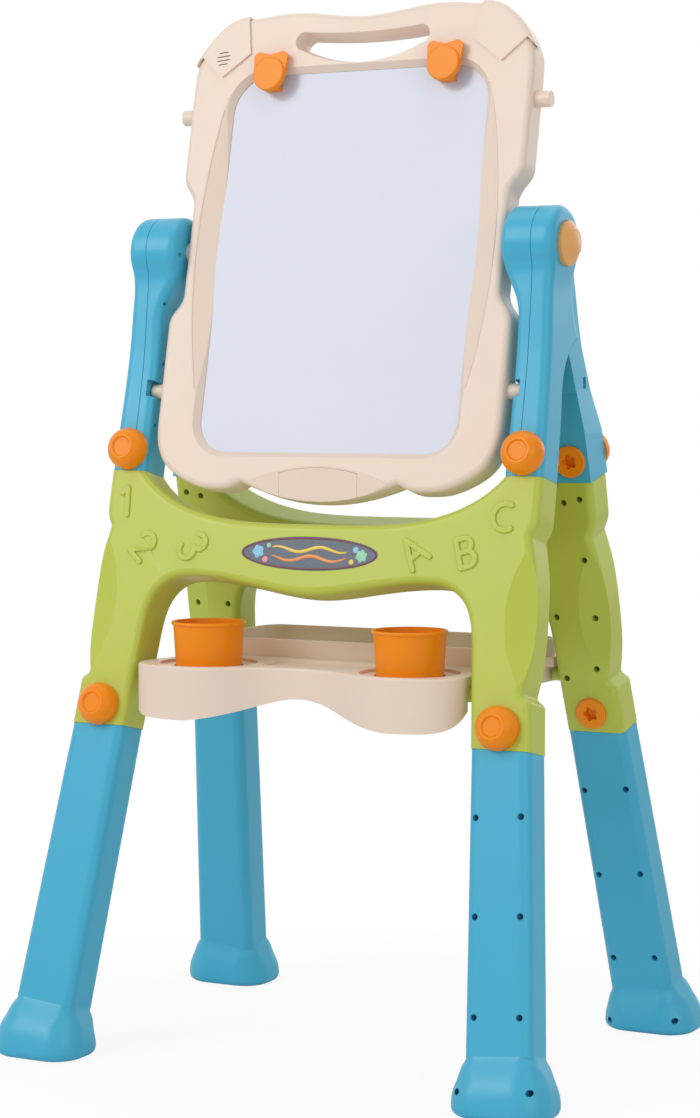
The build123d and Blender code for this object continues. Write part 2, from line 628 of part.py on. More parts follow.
def build_leg(screw_side):
    """Outward and inward half shells of the right-hand leg and their screws, in the frame's plane."""
    leg = LEG_FRAME * leg_solid(0, -LEG_TOP)
    leg &= box_between((-BIG, -BIG, -BIG), (BIG, -LOWER_SEAM - SEAM_GAP, BIG))
    leg &= above_floor(0)
    leg = rounded(leg, BASE_ROUND, lambda p: (FRONT * Pos(p.X, p.Y, p.Z)).position.Z < 0.05)
    hollow = LEG_FRAME * leg_solid(WALL, WALL + 2) & above_floor(BASE_ROUND)
    grip = WALL + SOCKET_GAP
    wide = LEG_WIDTH - 2 * grip
    deep = DEPTH - 2 * grip
    spigot = LEG_FRAME * (Pos(0, 0, (WALL + 2 - SPIGOT) / 2) * Box(wide, deep, SPIGOT + WALL + 2))
    bore = Box(wide - 2 * WALL, deep - 2 * WALL, SPIGOT + WALL + 8)
    bore = LEG_FRAME * (Pos(0, 0, (WALL + 6 - SPIGOT) / 2) * bore)
    posts = []
    ways = []
    screws = []
    far = screw_side * BIG
    for x, along in LEG_SCREWS:
        for way in (1, -1):
            swing = LEG_FRAME * Pos(way * x, 0, along) * Rot(90, 0, 0)
            posts.append(swing * Cylinder(BOSS_R, DEPTH + 6))
            seat = HALF / 3
            ends = sorted((-far, -screw_side * seat))
            ways.append(swing * rod(0, 0, *ends, SCREW_HOLE_R))
            ways.append(swing * rod(0, 0, -seat - 1, seat * 1.5 + 1, SCREW_R + RUN_GAP) if screw_side > 0
                        else swing * rod(0, 0, -seat * 1.5 - 1, seat + 1, SCREW_R + RUN_GAP))
            screws.append(swing * screw(0, 0, -screw_side * seat, screw_side * seat * 1.5))
    leg += spigot
    leg -= hollow
    leg -= bore
    shell = LEG_FRAME * leg_solid(1, -LEG_TOP) & above_floor(1) & box_between(
        (-BIG, -BIG, -BIG), (BIG, -LOWER_SEAM - SEAM_GAP, BIG))
    leg += [post & shell for post in posts]
    leg -= ways
    _, (low_x, low_v) = knob_places()
    leg -= rod(low_x, -low_v, 0, BIG, SHANK_R + SOCKET_GAP)
    leg -= rod(low_x, -low_v, -BIG, 0, NUT_BARREL_R + SEAM_GAP)
    return leg & half_space(1), leg & half_space(-1), screws


# Clamping hardware, along the local z axis of the frame

def knob():
    """Domed knob with a dished face on a plain round shank."""
    base = HALF + SEAM_GAP
    top = HALF + KNOB_HEIGHT
    rim = 13.0
    dome = make_face([
        Line((0, top - 2.2), (9.5, top - 2.2)),
        Line((9.5, top - 2.2), (11.2, top)),
        Line((11.2, top), (rim, top)),
        ThreePointArc((rim, top), (KNOB_R - 3.2, top - 5.2), (KNOB_R, top - 13)),
        Line((KNOB_R, top - 13), (KNOB_R, base)),
        Line((KNOB_R, base), (SHANK_R, base)),
        Line((SHANK_R, base), (SHANK_R, 4 - HALF)),
        Line((SHANK_R, 4 - HALF), (0, 4 - HALF)),
        Line((0, 4 - HALF), (0, top - 2.2)),
    ])
    return revolve(Plane.XZ * dome, axis=Axis.Z)


def nut():
    """Flanged nut in the inner face, with a five-lobed socket."""
    seat = -HALF
    body = rod(0, 0, seat - NUT_FLANGE, seat, NUT_FLANGE_R)
    body += rod(0, 0, seat - 0.5, seat + NUT_BARREL, NUT_BARREL_R)
    body = rounded(body, 1.2, lambda p: abs(p.Z - (seat - NUT_FLANGE)) < 0.01)
    socket = Circle(5.2)
    for lobe in range(5):
        socket += Rot(0, 0, 72 * lobe) * Pos(5.6, 0) * Circle(2.6)
    body -= slab(socket, seat - NUT_FLANGE - 1, seat + 1.5)
    return body - rod(0, 0, seat - 10, seat + NUT_BARREL + 1, SHANK_R + RUN_GAP)


# Tilting board, in its own plane: x across, y up, z towards the front

BULGE_X = 92.0
BOARD_LOW = -273.0


def board_outline():
    """Outline of the board: waved top, waisted sides at the heads, bulged foot."""
    top = Spline((-144, 257), (-80, 261.5), (0, 253), (80, 261.5), (144, 257),
                 tangents=[(1, 0.1), (1, -0.1)])
    step = 18
    side = [
        Spline((144, 257), (176, 240), (BOARD_W - 5, 212), (BOARD_W, 175), tangents=[(1, -0.1), (0, -1)]),
        Line((BOARD_W, 175), (BOARD_W, 66 + step)),
        Spline((BOARD_W, 66 + step), ((BOARD_W + WAIST_W) / 2, 66), (WAIST_W, 66 - step),
               tangents=[(0, -1), (0, -1)]),
        Line((WAIST_W, 66 - step), (WAIST_W, -66 + step)),
        Spline((WAIST_W, -66 + step), ((BOARD_W + WAIST_W) / 2, -66), (BOARD_W, -66 - step),
               tangents=[(0, -1), (0, -1)]),
        Line((BOARD_W, -66 - step), (BOARD_W, -190)),
        Spline((BOARD_W, -190), (BOARD_W - 14, -236), (150, -258), (118, -262),
               tangents=[(0, -1), (-1, 0)]),
        Spline((118, -262), (105, -260), (BULGE_X, -254), tangents=[(-1, 0), (-1, 0.5)]),
    ]
    foot = ThreePointArc((BULGE_X, -254), (0, BOARD_LOW), (-BULGE_X, -254))
    return make_face([top, foot] + side + [mirror(edge, about=Plane.YZ) for edge in side])


def window(grow):
    """Rounded opening for the panels, grown outwards by a margin."""
    tall = WINDOW_TOP - WINDOW_BOTTOM
    sheet = Pos(0, (WINDOW_TOP + WINDOW_BOTTOM) / 2) * Rectangle(2 * WINDOW_W + 2 * grow, tall + 2 * grow)
    upper = [v for v in sheet.vertices() if v.Y > 0]
    sheet = fillet(upper, 42 + grow)
    lower = [v for v in sheet.vertices() if v.Y < WINDOW_BOTTOM + 1 - grow + 1]
    return fillet(lower, 34 + grow)


def grip_hole(grow):
    """Curved carrying slot near the top of the board."""
    low = ThreePointArc((-66 - grow, 219 - grow * 0.4), (0, 205 - grow), (66 + grow, 219 - grow * 0.4))
    end = ThreePointArc((66 + grow, 219 - grow * 0.4), (75 + grow, 228), (66 + grow, 236 + grow * 0.4))
    high = ThreePointArc((66 + grow, 236 + grow * 0.4), (0, 229 + grow), (-66 - grow, 236 + grow * 0.4))
    return make_face([low, end, high, mirror(end, about=Plane.YZ)])


CREASE_R = 715.0
CREASE_X = 176.5
CREASE_END = 170.0
CREASE_SLOPE = radians(20.0)
FOOT_CREASE_R = 203.0
FOOT_CREASE_TOP = -236.0
FOOT_SLOPE = radians(11.0)


def side_dish(grow=0.0):
    """Ball cut that slopes the right-hand margin down to the panel inside a long curved crease."""
    ball = CREASE_R / sin(CREASE_SLOPE)
    dish = Pos(CREASE_X - CREASE_R, 0, BOARD_HALF + ball * cos(CREASE_SLOPE)) * Sphere(ball + grow)
    return dish & box_between((WINDOW_W - 20, -CREASE_END, 4), (CREASE_X + 20, CREASE_END, BOARD_HALF + 4))


def foot_dish(grow=0.0):
    """Ball cut that slopes the lower edge away under a curved crease."""
    ball = FOOT_CREASE_R / sin(FOOT_SLOPE)
    dish = Pos(0, FOOT_CREASE_TOP - FOOT_CREASE_R, BOARD_HALF + ball * cos(FOOT_SLOPE))
    dish *= Sphere(ball + grow)
    return dish & box_between((-110, BOARD_LOW - 10, 0), (110, FOOT_CREASE_TOP + 25, BOARD_HALF + 4))


COVER_W = 46.0
BOARD_SCREWS = ((183, 178), (183, 118), (177, 0), (183, -112), (183, -178), (120, -243), (140, 226))
RIB = 2.4


def cover_region(gap):
    """Middle piece of the lower edge, between two split lines and the crease."""
    top = FOOT_CREASE_TOP - 2 - gap
    return make_face([
        Line((-COVER_W + gap, BOARD_LOW - 5), (COVER_W - gap, BOARD_LOW - 5)),
        Line((COVER_W - gap, BOARD_LOW - 5), (COVER_W - gap, top - 6)),
        ThreePointArc((COVER_W - gap, top - 6), (0, top), (-COVER_W + gap, top - 6)),
        Line((-COVER_W + gap, top - 6), (-COVER_W + gap, BOARD_LOW - 5)),
    ])


def build_board():
    """Front ring, back ring, panels, cover and corner caps of the board."""
    outline = board_outline()
    blank = extrude(outline, amount=BOARD_HALF, both=True)
    blank = fillet([edge for edge in blank.edges() if abs(edge.tangent_at(0).Z) > 0.99
                    and abs(abs(edge.center().X) - BULGE_X) < 0.1], 6)
    blank = rounded(blank, BOARD_ROUND, lambda p: abs(abs(p.Z) - BOARD_HALF) < 0.01)
    for flip in (lambda piece: piece, other_side):
        blank -= flip(side_dish())
    blank -= foot_dish()
    full = blank
    sink = BOARD_HALF - PANEL_SINK
    lip = loft([Pos(0, 0, BOARD_HALF) * window(WINDOW_LIP), Pos(0, 0, sink + 1) * window(0)], ruled=True)
    blank -= slab(window(0), -BIG, BIG)
    blank -= lip + mirror(lip, about=Plane.XY)
    blank -= slab(grip_hole(0), -BIG, BIG)
    flare = loft([Pos(0, 0, BOARD_HALF + 0.5) * grip_hole(5), Pos(0, 0, 4) * grip_hole(0)], ruled=True)
    blank -= flare + mirror(flare, about=Plane.XY)
    core = BOARD_HALF - WALL
    ring = inset(outline, WALL) - window(REBATE + WALL + 0.6) - grip_hole(WALL + 5)
    hollow = slab(ring, -core, core)
    hollow -= slab(cover_region(-WALL), 0, core + 1)
    hollow -= foot_dish(WALL)
    for flip in (lambda piece: piece, other_side):
        hollow -= flip(side_dish(WALL))
    rebate = slab(window(REBATE + SEAM_GAP), -sink, sink)
    posts = []
    ways = []
    screws = []
    for x, y in BOARD_SCREWS:
        for way in (1, -1):
            posts.append(rod(way * x, y, -core - 1, core + 1, BOSS_R))
            ways.append(rod(way * x, y, -BIG, -4, SCREW_HOLE_R))
            ways.append(rod(way * x, y, -5, 9, SCREW_R + RUN_GAP))
            screws.append(screw(way * x, y, -4, 9))
    body = blank - hollow - rebate
    body += [post & full for post in posts]
    body -= ways
    front = body & half_space(1)
    back = body & half_space(-1)
    cover = slab(cover_region(SEAM_GAP), 3, BOARD_HALF + 1) & full
    front -= slab(cover_region(0), 3 - SEAM_GAP, BOARD_HALF + 1)
    tall = WINDOW_TOP - WINDOW_BOTTOM
    middle = (WINDOW_TOP + WINDOW_BOTTOM) / 2
    reach = sink - PANEL - 0.1
    ribs = slab(Pos(0, middle) * Rectangle(2 * WINDOW_W + 2 * REBATE + 3, RIB), -reach, reach)
    for x in (-WINDOW_W / 2, 0, WINDOW_W / 2):
        ribs += slab(Pos(x, middle) * Rectangle(RIB, tall + 2 * REBATE + 3), -reach, reach)
    for y in (-tall / 4, tall / 4):
        ribs += slab(Pos(0, middle + y) * Rectangle(2 * WINDOW_W + 2 * REBATE + 3, RIB), -reach, reach)
    back += ribs & slab(window(REBATE + 1), -BIG, BIG)
    front -= slab(window(REBATE + 1.3), -1, reach + 0.1)
    for flip in (lambda piece: piece, other_side):
        for y in (PEG_RADIUS, -PEG_RADIUS):
            bar = Pos(0, y, 0) * Rot(0, 90, 0)
            back += flip(bar * rod(0, 0, BOARD_W - 5, PEG_END, PEG_R))
            front -= flip(bar * rod(0, 0, BOARD_W - 5.4, PEG_END, PEG_R + SEAM_GAP))
        bar = Rot(0, 90, 0)
        back += flip(bar * rod(0, 0, WAIST_W - 6, PIVOT_END, PIVOT_R))
        front -= flip(bar * rod(0, 0, WAIST_W - 6.4, PIVOT_END, PIVOT_R + SEAM_GAP))
    panel = window(REBATE)
    white = slab(panel, sink - PANEL, sink)
    black = slab(panel, -sink, PANEL - sink)
    return front, back, white, black, cover, screws


def corner_cap():
    """Raised guard over the right-hand top corner, wrapping the edge of the board."""
    shape = make_face(Polyline((146, 300), (133, 217), (166, 192), (193, 216), (204, 205), (260, 240),
                               close=True))
    outer = slab(inset(board_outline(), -CAP_RISE) & shape, 0.5, BOARD_HALF + CAP_RISE)
    top = [edge for edge in outer.edges() if abs(edge.center().Z - BOARD_HALF - CAP_RISE) < 0.01]
    outer = fillet([edge for edge in top if edge.geom_type != GeomType.LINE], CAP_ROUND)
    inner = slab(inset(board_outline(), -RUN_GAP), 0, BOARD_HALF + RUN_GAP)
    return outer - inner


# Paper clips on the board

PIN_H = CLIP_H + 13.0
PIN_OUT = BOARD_HALF + 5.5
CLIP_BACK = BOARD_HALF + 5.2
CLIP_FACE = BOARD_HALF + 12.0
EAR_FACE = BOARD_HALF + 9.2
EAR_X = 13.6
EAR_H = 18.2
EAR_R = 6.7


def clip_lever():
    """Sprung lever: round press face, two ears behind it, barrel and a jaw on the panel."""
    face = rod(CLIP_X, CLIP_H, CLIP_BACK, CLIP_FACE, CLIP_R)
    face = rounded(face, 1.6, lambda p: abs(p.Z - CLIP_FACE) < 0.01)
    tip = EAR_H + EAR_R
    right = [(CLIP_R, 0), (EAR_X + EAR_R, EAR_H), (EAR_X, tip)]
    head = make_face(Polyline(*right, (0, tip - EAR_R / 2), *[(-x, y) for x, y in reversed(right)],
                              close=True))
    for way in (1, -1):
        head += Pos(way * EAR_X, EAR_H) * Circle(EAR_R)
    face += slab(Pos(CLIP_X, CLIP_H) * head, CLIP_BACK, EAR_FACE)
    jaw = box_between((CLIP_X - 9, CLIP_H - 15, BOARD_HALF - PANEL_SINK + 0.4),
                      (CLIP_X + 9, CLIP_H - 11, CLIP_BACK + 1))
    face += jaw
    barrel = Pos(CLIP_X, PIN_H, PIN_OUT) * Rot(0, 90, 0) * Cylinder(4, 9)
    face -= box_between((CLIP_X - 10.4, PIN_H - 5.2, CLIP_BACK - 1),
                        (CLIP_X + 10.4, PIN_H + 5.2, PIN_OUT + 3))
    face += barrel + box_between((CLIP_X - 4.5, PIN_H - 3, PIN_OUT + 1),
                                 (CLIP_X + 4.5, PIN_H + 3, EAR_FACE - 0.7))
    return face - Pos(CLIP_X, PIN_H, PIN_OUT) * Rot(0, 90, 0) * Cylinder(CLIP_PIN_R + RUN_GAP, 40)


def clip_lugs():
    """Two ears on the board that carry the clip pin."""
    lugs = None
    for way in (1, -1):
        lug = box_between((CLIP_X + way * 7.4 - 1.6, PIN_H - 2.6, BOARD_HALF - 1),
                          (CLIP_X + way * 7.4 + 1.6, PIN_H + 2.6, PIN_OUT + 2))
        lugs = lug if lugs is None else lugs + lug
    return lugs - Pos(CLIP_X, PIN_H, PIN_OUT) * Rot(0, 90, 0) * Cylinder(CLIP_PIN_R, 40)


def clip_pin():
    """Steel pin through the lugs and the lever's barrel."""
    return Pos(CLIP_X, PIN_H, PIN_OUT) * Rot(0, 90, 0) * Cylinder(CLIP_PIN_R, 18)


# Release buttons, in place on the right-hand head

def button():
    """Domed push button with a skirt that keeps it in the head."""
    edge = HEAD_OUT + BUTTON_EDGE
    crown = HEAD_OUT + BUTTON_DOME
    lip = BUTTON_R + 2
    ball = (BUTTON_R ** 2 + (crown - edge) ** 2) / (2 * (crown - edge))
    half_way = (BUTTON_R / 2, crown - ball + (ball ** 2 - BUTTON_R ** 2 / 4) ** 0.5)
    bore = BUTTON_R - BUTTON_SKIRT
    profile = make_face([
        Line((0, crown), (0, crown - BUTTON_SKIN)),
        Line((0, crown - BUTTON_SKIN), (bore, edge - BUTTON_SKIN)),
        Line((bore, edge - BUTTON_SKIN), (bore, BUTTON_BACK)),
        Line((bore, BUTTON_BACK), (lip, BUTTON_BACK)),
        Line((lip, BUTTON_BACK), (lip, BUTTON_BACK + 2)),
        Line((lip, BUTTON_BACK + 2), (BUTTON_R, BUTTON_BACK + 2)),
        Line((BUTTON_R, BUTTON_BACK + 2), (BUTTON_R, edge)),
        ThreePointArc((BUTTON_R, edge), half_way, (0, crown)),
    ])
    cap = revolve(Plane.XZ * profile, axis=Axis.Z)
    return Pos(0, AXIS_Y, AXIS_Z) * Rot(0, 90, 0) * cap


def button_spring():
    """Space of the coil spring between the sleeve and the button."""
    radius = SLEEVE_R - 0.6
    slope = (BUTTON_DOME - BUTTON_EDGE) / (BUTTON_R - BUTTON_SKIRT)
    low, high = SLEEVE_END, HEAD_OUT + BUTTON_DOME - BUTTON_SKIN - radius * slope - BUTTON_TRAVEL - 1.2
    tube = rod(0, 0, low, high, radius) - rod(0, 0, low - 1, high + 1, radius - 2)
    return Pos(0, AXIS_Y, AXIS_Z) * Rot(0, 90, 0) * tube


# Tray and cups

def tray_outline():
    """Plan of the tray: two front lobes with a dip between them, straight sides, round rear corners."""
    front = -LOBE_FRONT
    neck = (TRAY_W, CUP_Y + 29)
    right = [neck, (TRAY_W + 2, CUP_Y + 18), (LOBE_W - 2, CUP_Y + 7), (LOBE_W, CUP_Y - 8),
             (LOBE_W - 3, front + 25),
             (LOBE_W - 16, front + 10), (LOBE_W - 42, front + 1), (CUP_X - 10, front), (80, front + 9),
             (40, front + 31)]
    curve = right + [(0, -LOBE_DIP)] + [(-x, y) for x, y in reversed(right)]
    rear = TRAY_REAR
    turn = 22.0
    side = [
        Line(neck, (TRAY_W, rear - turn)),
        ThreePointArc((TRAY_W, rear - turn), (TRAY_W - turn * 0.293, rear - turn * 0.293),
                      (TRAY_W - turn, rear)),
    ]
    lobes = Spline(*curve, tangents=[(0, -1), (0, 1)], tangent_scalars=[0.5, 0.5])
    back = Line((turn - TRAY_W, rear), (TRAY_W - turn, rear))
    return make_face([lobes, back] + side + [mirror(edge, about=Plane.YZ) for edge in side])


def tray_underside():
    """Space below the skirt: deep under the lobes, arched between them, rising along the sides."""
    low = LOBE_LOW - 40
    wide = LOBE_W + 12
    right = [(wide, LOBE_LOW + 2), (160, LOBE_LOW), (CUP_X, LOBE_LOW), (60, LOBE_LOW + 11)]
    curve = right + [(0, DIP_LOW)] + [(-x, z) for x, z in reversed(right)]
    wave = make_face([
        Spline(*curve),
        Line((-wide, LOBE_LOW + 2), (-wide, low)),
        Line((-wide, low), (wide, low)),
        Line((wide, low), (wide, LOBE_LOW + 2)),
    ])
    foot, brow = -LOBE_FRONT - 2, CUP_Y + 8
    rise = make_face([
        Spline((foot, LOBE_LOW), (CUP_Y - 29, LOBE_LOW + 11), (brow, TRAY_FLOOR),
               tangents=[(1, 0.1), (1, 0.3)]),
        Line((brow, TRAY_FLOOR), (BIG, TRAY_FLOOR)),
        Line((BIG, TRAY_FLOOR), (BIG, low)),
        Line((BIG, low), (foot, low)),
        Line((foot, low), (foot, LOBE_LOW)),
    ])
    return along_y(wave, -BIG, BIG) + across(rise, -BIG, BIG)


TRAY_PEG_Y, TRAY_PEG_Z = front_point(0, PEG_V)
BIN_FRONT = -28.0
DECK = 6.0
RIM_ROUND = 2.5
POCKET_R = CUP_R - CUP_TAPER + 2.6
REAR_PART = Pos(0, BIG / 2 + BIN_FRONT) * Rectangle(BIG, BIG)


def tray_deck():
    """Front deck of the tray with its wells and the round holes that the pockets hang in."""
    deck = slab(tray_outline() - REAR_PART, TRAY_TOP - DECK, TRAY_TOP)
    deck = rounded(deck, RIM_ROUND, lambda p: abs(p.Z - TRAY_TOP) < 0.01 and p.Y < BIN_FRONT - 1)
    room = inset(tray_outline(), WALL)
    for x in (CUP_X, -CUP_X):
        deck -= slab(Pos(x, CUP_Y) * Circle(WELL_R) & room, TRAY_TOP - WELL, BIG)
        deck -= rod(x, CUP_Y, 0, BIG, POCKET_R + WALL)
    return deck - slab(Pos(0, CUP_Y + 28) * RectangleRounded(116, 62, 14), TRAY_TOP - WELL, BIG)


def tray_skirt():
    """Waved wall under the rim of the deck, notched over the pegs of the front frame."""
    outline = tray_outline()
    skirt = slab(outline - inset(outline, WALL) - REAR_PART, LOBE_LOW - 10, TRAY_TOP - DECK)
    skirt -= tray_underside()
    grip = TRAY_PEG_R + SEAM_GAP
    notch = rod_x(TRAY_PEG_Y, TRAY_PEG_Z, LOBE_W - 20, LOBE_W + 20, grip)
    notch += box_between((LOBE_W - 20, TRAY_PEG_Y - grip, 0), (LOBE_W + 20, TRAY_PEG_Y + grip, TRAY_PEG_Z))
    return skirt - notch - other_side(notch)


def tray_bin():
    """Rear bin of the tray with the ledges that sit on the pegs of the rear frame."""
    outline = tray_outline()
    room = Pos(0, WALL) * REAR_PART & inset(outline, WALL)
    body = slab(outline & REAR_PART, TRAY_FLOOR, TRAY_REAR_TOP) - slab(room, TRAY_FLOOR + WALL, BIG)
    ledge = box_between((TRAY_W - 1, -TRAY_PEG_Y - 18, TRAY_PEG_Z + TRAY_PEG_R + SEAM_GAP),
                        (TRAY_PEG_IN + 6, -TRAY_PEG_Y + 18, TRAY_TOP))
    return body + ledge + other_side(ledge)


def cup_pocket():
    """Round pocket under the deck that holds the right-hand cup."""
    floor = TRAY_TOP - WELL - POCKET
    wall = rod(CUP_X, CUP_Y, floor - WALL, TRAY_TOP - WELL, POCKET_R + WALL - RUN_GAP)
    return wall - rod(CUP_X, CUP_Y, floor, BIG, POCKET_R)


def cup():
    """Tapered cup with a rolled rim."""
    low = TRAY_TOP - WELL - POCKET + SEAM_GAP
    base = CUP_R - CUP_TAPER
    profile = make_face([
        Line((0, low), (base - 3, low)),
        ThreePointArc((base - 3, low), (base - 0.9, low + 0.9), (base, low + 3)),
        Line((base, low + 3), (CUP_R, CUP_TOP - 2 * CUP_BEAD)),
        ThreePointArc((CUP_R, CUP_TOP - 2 * CUP_BEAD), (CUP_R + CUP_BEAD, CUP_TOP - CUP_BEAD),
                      (CUP_R, CUP_TOP)),
        Line((CUP_R, CUP_TOP), (CUP_R - CUP_WALL, CUP_TOP - 0.6)),
        Line((CUP_R - CUP_WALL, CUP_TOP - 0.6), (base - CUP_WALL, low + CUP_WALL)),
        Line((base - CUP_WALL, low + CUP_WALL), (0, low + CUP_WALL)),
        Line((0, low + CUP_WALL), (0, low)),
    ])
    return Pos(CUP_X, CUP_Y, 0) * revolve(Plane.XZ * profile, axis=Axis.Z)


# Assembly

NODES = {}


def keep(name, pieces):
    """Record one node: a single solid, or a group of separate solids."""
    NODES[name] = pieces


def group(pieces):
    """Several separate solids in one node."""
    solids = [solid for piece in pieces for solid in piece.solids()]
    return Compound(children=solids)


def assemble():
    """Build every piece and put it in its place."""
    face, back = build_frame()
    outer, inner = build_front_arm()
    rear_outer, rear_inner = build_rear_arm()
    right_out, right_in, right_screws = build_leg(1)
    left_out, left_in, left_screws = build_leg(-1)
    places = knob_places()
    keep("front_badge", FRONT * badge())
    ends = {"front": lambda piece: FRONT * piece, "rear": lambda piece: REAR_TURN * (FRONT * piece)}
    for end, put in ends.items():
        keep(f"{end}_frame_face", put(face))
        keep(f"{end}_frame_back", put(back))
        near, far = ("right", "left") if end == "front" else ("left", "right")
        keep(f"{end}_{near}_leg_outer_half", put(right_out))
        keep(f"{end}_{near}_leg_inner_half", put(right_in))
        keep(f"{end}_{far}_leg_outer_half", put(other_side(left_out)))
        keep(f"{end}_{far}_leg_inner_half", put(other_side(left_in)))
        nuts = []
        for level, (x, down) in zip(("upper", "lower"), places):
            keep(f"{end}_{near}_{level}_knob", put(Pos(x, -down, 0) * knob()))
            keep(f"{end}_{far}_{level}_knob", put(Pos(-x, -down, 0) * knob()))
            nuts += [put(Pos(x, -down, 0) * nut()), put(Pos(-x, -down, 0) * nut())]
        keep(f"{end}_nuts", group(nuts))
        screws = frame_screws() + right_screws + [other_side(piece) for piece in left_screws]
        keep(f"{end}_screws", group([put(piece) for piece in screws]))
    for name, piece in (("front_{}_arm_outer", outer), ("front_{}_arm_inner", inner),
                        ("rear_{}_arm_outer", rear_outer), ("rear_{}_arm_inner", rear_inner)):
        keep(name.format("right"), piece)
        keep(name.format("left"), other_side(piece))
    front, ring_back, white, black, cover, screws = build_board()
    front += clip_lugs() + other_side(clip_lugs())
    keep("board_front_ring", BOARD * front)
    keep("board_back_ring", BOARD * ring_back)
    keep("whiteboard_panel", BOARD * white)
    keep("chalkboard_panel", BOARD * black)
    keep("bottom_cover", BOARD * cover)
    keep("board_screws", group([BOARD * piece for piece in screws]))
    keep("right_corner_cap", BOARD * corner_cap())
    keep("left_corner_cap", BOARD * other_side(corner_cap()))
    keep("right_clip", BOARD * clip_lever())
    keep("left_clip", BOARD * other_side(clip_lever()))
    keep("clip_pins", group([BOARD * clip_pin(), BOARD * other_side(clip_pin())]))
    keep("right_button", button())
    keep("left_button", other_side(button()))
    keep("right_button_spring", button_spring())
    keep("left_button_spring", other_side(button_spring()))
    keep("tray", tray_deck())
    keep("tray_skirt", tray_skirt())
    keep("tray_bin", tray_bin())
    keep("right_cup_pocket", cup_pocket())
    keep("left_cup_pocket", other_side(cup_pocket()))
    keep("right_cup", cup())
    keep("left_cup", other_side(cup()))


assemble()
for name, piece in NODES.items():
    export_step(piece, f"parts/{name}.step")
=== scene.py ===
"""Looks of a folding children's easel: moulded plastics, printed badge, small relief, light and camera."""

import json
import math

import bmesh
import bpy
import numpy as np
from mathutils import Matrix


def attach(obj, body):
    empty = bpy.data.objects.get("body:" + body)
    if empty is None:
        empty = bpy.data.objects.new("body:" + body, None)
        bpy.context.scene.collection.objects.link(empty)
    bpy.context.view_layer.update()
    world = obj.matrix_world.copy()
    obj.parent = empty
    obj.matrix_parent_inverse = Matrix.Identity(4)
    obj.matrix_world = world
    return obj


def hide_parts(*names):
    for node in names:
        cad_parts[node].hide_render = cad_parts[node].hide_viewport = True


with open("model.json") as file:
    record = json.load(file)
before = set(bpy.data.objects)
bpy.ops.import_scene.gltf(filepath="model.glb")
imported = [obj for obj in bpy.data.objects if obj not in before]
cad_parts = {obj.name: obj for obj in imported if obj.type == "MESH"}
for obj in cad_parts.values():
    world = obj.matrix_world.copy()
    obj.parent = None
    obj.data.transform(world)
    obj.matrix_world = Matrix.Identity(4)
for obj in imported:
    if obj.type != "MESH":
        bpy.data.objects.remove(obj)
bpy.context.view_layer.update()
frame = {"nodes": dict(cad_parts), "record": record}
scene = bpy.context.scene
MM = 0.001

# The stance of the object: places in millimetres, angles in radians
AXIS_Y, AXIS_Z = -19.0, 850.0
PLANE_Y = 11.0
LEAN = math.radians(12.8)
TILT = math.radians(12.5)
FACE = 24.0
BOARD_FACE = 17.0
HEAD_OUT = 249.5

# The photograph's height in pixels and its viewpoint, in metres and radians
IMAGE_HEIGHT = 1118
VIEW_AZIMUTH = math.radians(27.17)
VIEW_ELEVATION = math.radians(3.53)
VIEW_DISTANCE = 2.8609
VIEW_HEIGHT = 0.5211
VIEW_ASIDE = -0.0065
FOCAL_PIXELS = 2671.2
SENSOR = 36.0


def place(origin, across, up, points):
    """Points (a, b, c) carried to origin + a*across + b*up + c*(across x up), all in metres."""
    across, up = np.array(across, float), np.array(up, float)
    out = np.cross(across, up)
    points = np.asarray(points, float)
    return np.array(origin) + points[..., :1] * across + points[..., 1:2] * up + points[..., 2:3] * out


def on_crossbar(points):
    """From (x, distance up from the axis height, out from the frame's middle plane), in mm, to metres."""
    up = (0, math.sin(LEAN), math.cos(LEAN))
    return place((0, -PLANE_Y * MM, AXIS_Z * MM), (1, 0, 0), up, np.asarray(points) * MM)


def on_board(points):
    """From (x, height above the axis, out from the board's middle plane), in mm, to metres."""
    up = (0, math.sin(TILT), math.cos(TILT))
    return place((0, AXIS_Y * MM, AXIS_Z * MM), (1, 0, 0), up, np.asarray(points) * MM)


def grid_mesh(name, points, tube=False):
    """Mesh over a grid of points [row, column, 3].

    A tube joins its last column to the first, and its end rows are capped."""
    rows, columns = points.shape[:2]
    index = np.arange(rows * columns).reshape(rows, columns)
    here, down = index[:-1], index[1:]
    if tube:
        right_here, right_down = np.roll(here, -1, 1), np.roll(down, -1, 1)
    else:
        right_here, right_down = here[:, 1:], down[:, 1:]
        here, down = here[:, :-1], down[:, :-1]
    faces = np.stack([here, right_here, right_down, down], -1).reshape(-1, 4).tolist()
    if tube:
        faces += [index[0][::-1].tolist(), index[-1].tolist()]
    mesh = bpy.data.meshes.new(name)
    mesh.from_pydata(points.reshape(-1, 3).tolist(), [], faces)
    mesh.validate()
    mesh.polygons.foreach_set("use_smooth", np.ones(len(mesh.polygons), bool))
    piece = bpy.data.objects.new(name, mesh)
    scene.collection.objects.link(piece)
    return piece


def closed_skin(name, points):
    """Closed piece over a grid of points, with its faces turned to point outwards."""
    piece = grid_mesh(name, points, tube=True)
    work = bmesh.new()
    work.from_mesh(piece.data)
    bmesh.ops.remove_doubles(work, verts=work.verts, dist=1e-7)
    bmesh.ops.recalc_face_normals(work, faces=work.faces)
    work.to_mesh(piece.data)
    work.free()
    return piece


